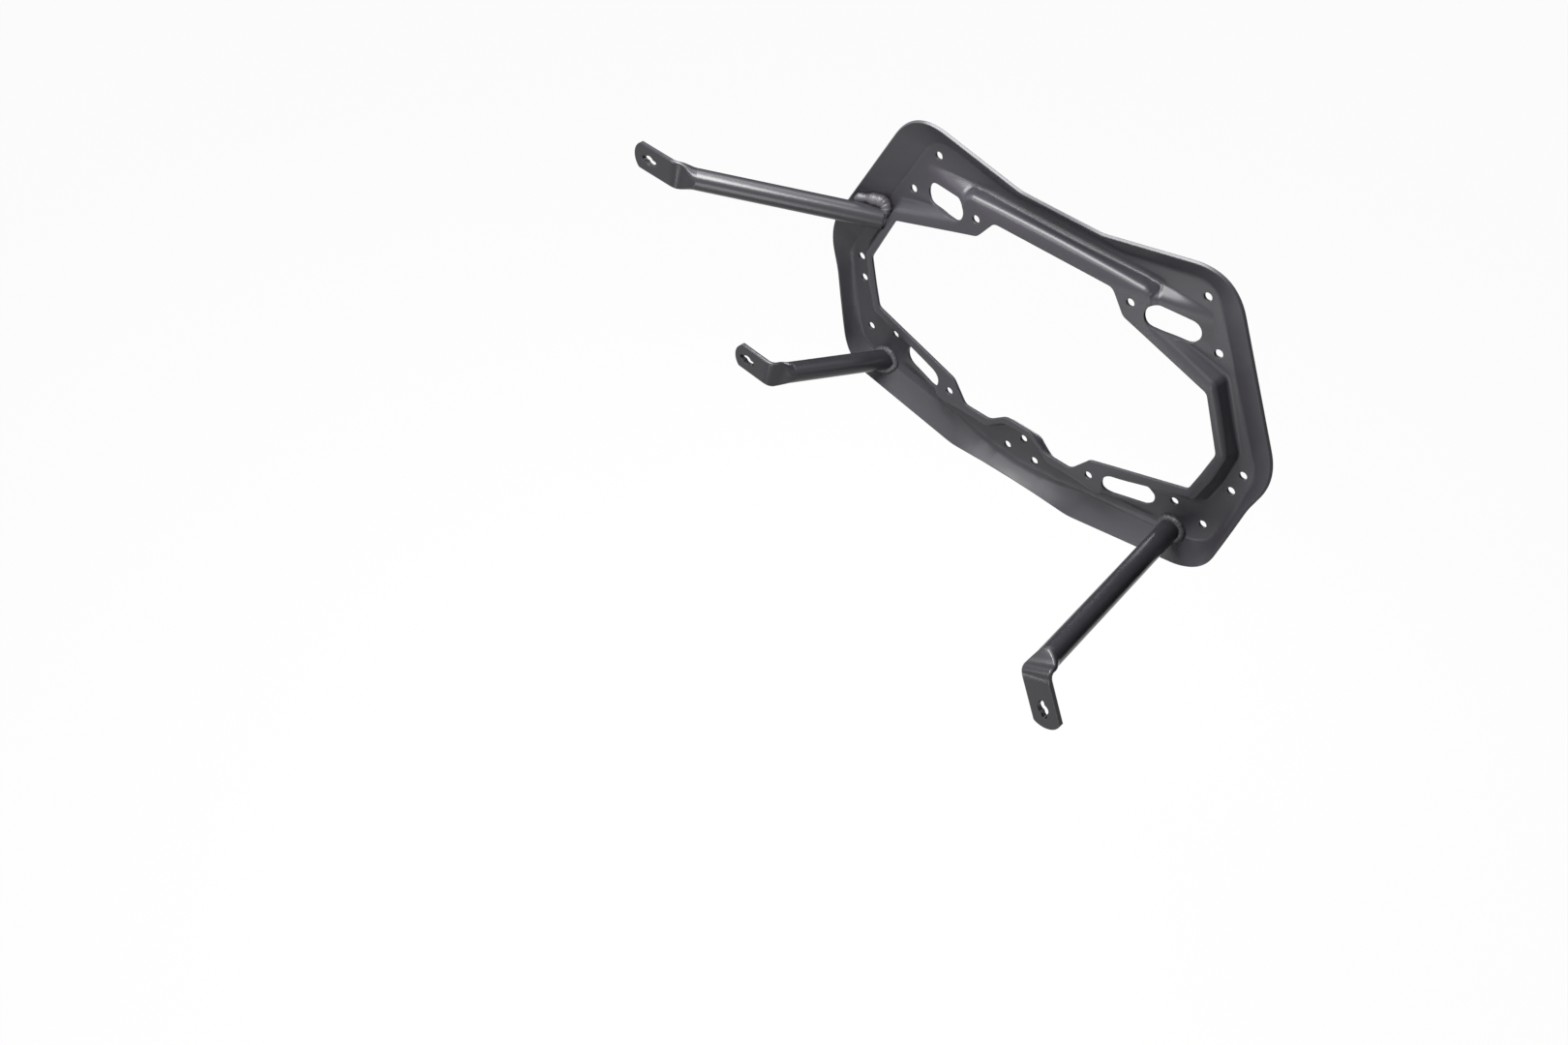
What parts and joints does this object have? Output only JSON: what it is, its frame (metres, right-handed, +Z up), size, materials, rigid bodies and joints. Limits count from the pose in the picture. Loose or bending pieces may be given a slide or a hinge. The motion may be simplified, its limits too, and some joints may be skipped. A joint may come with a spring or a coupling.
{
  "type": "pannier frame",
  "caption": "Pressed steel pannier frame with a large central opening, strap slots, bolt holes and welded tube stays with flattened slotted ends.",
  "frame": {"origin": "centre of the rectangle of four face bolts, in the middle of the sheet", "axes": "+X along the plate toward the rear lower stay, +Y outboard away from the machine, +Z up"},
  "size_m": [0.5598, 0.2292, 0.2856],
  "materials": {
    "plate_coat": "satin dark grey powder coat",
    "tube_coat": "satin dark grey powder coat",
    "weld_coat": "satin dark grey powder coat over weld beads"
  },
  "bodies": {
    "root": {"pressed_plate": "plate_coat", "upper_tube": "tube_coat", "front_lower_tube": "tube_coat", "rear_lower_tube": "tube_coat", "upper_weld": "weld_coat", "front_lower_weld": "weld_coat", "rear_lower_weld": "weld_coat"}
  },
  "joints": []
}
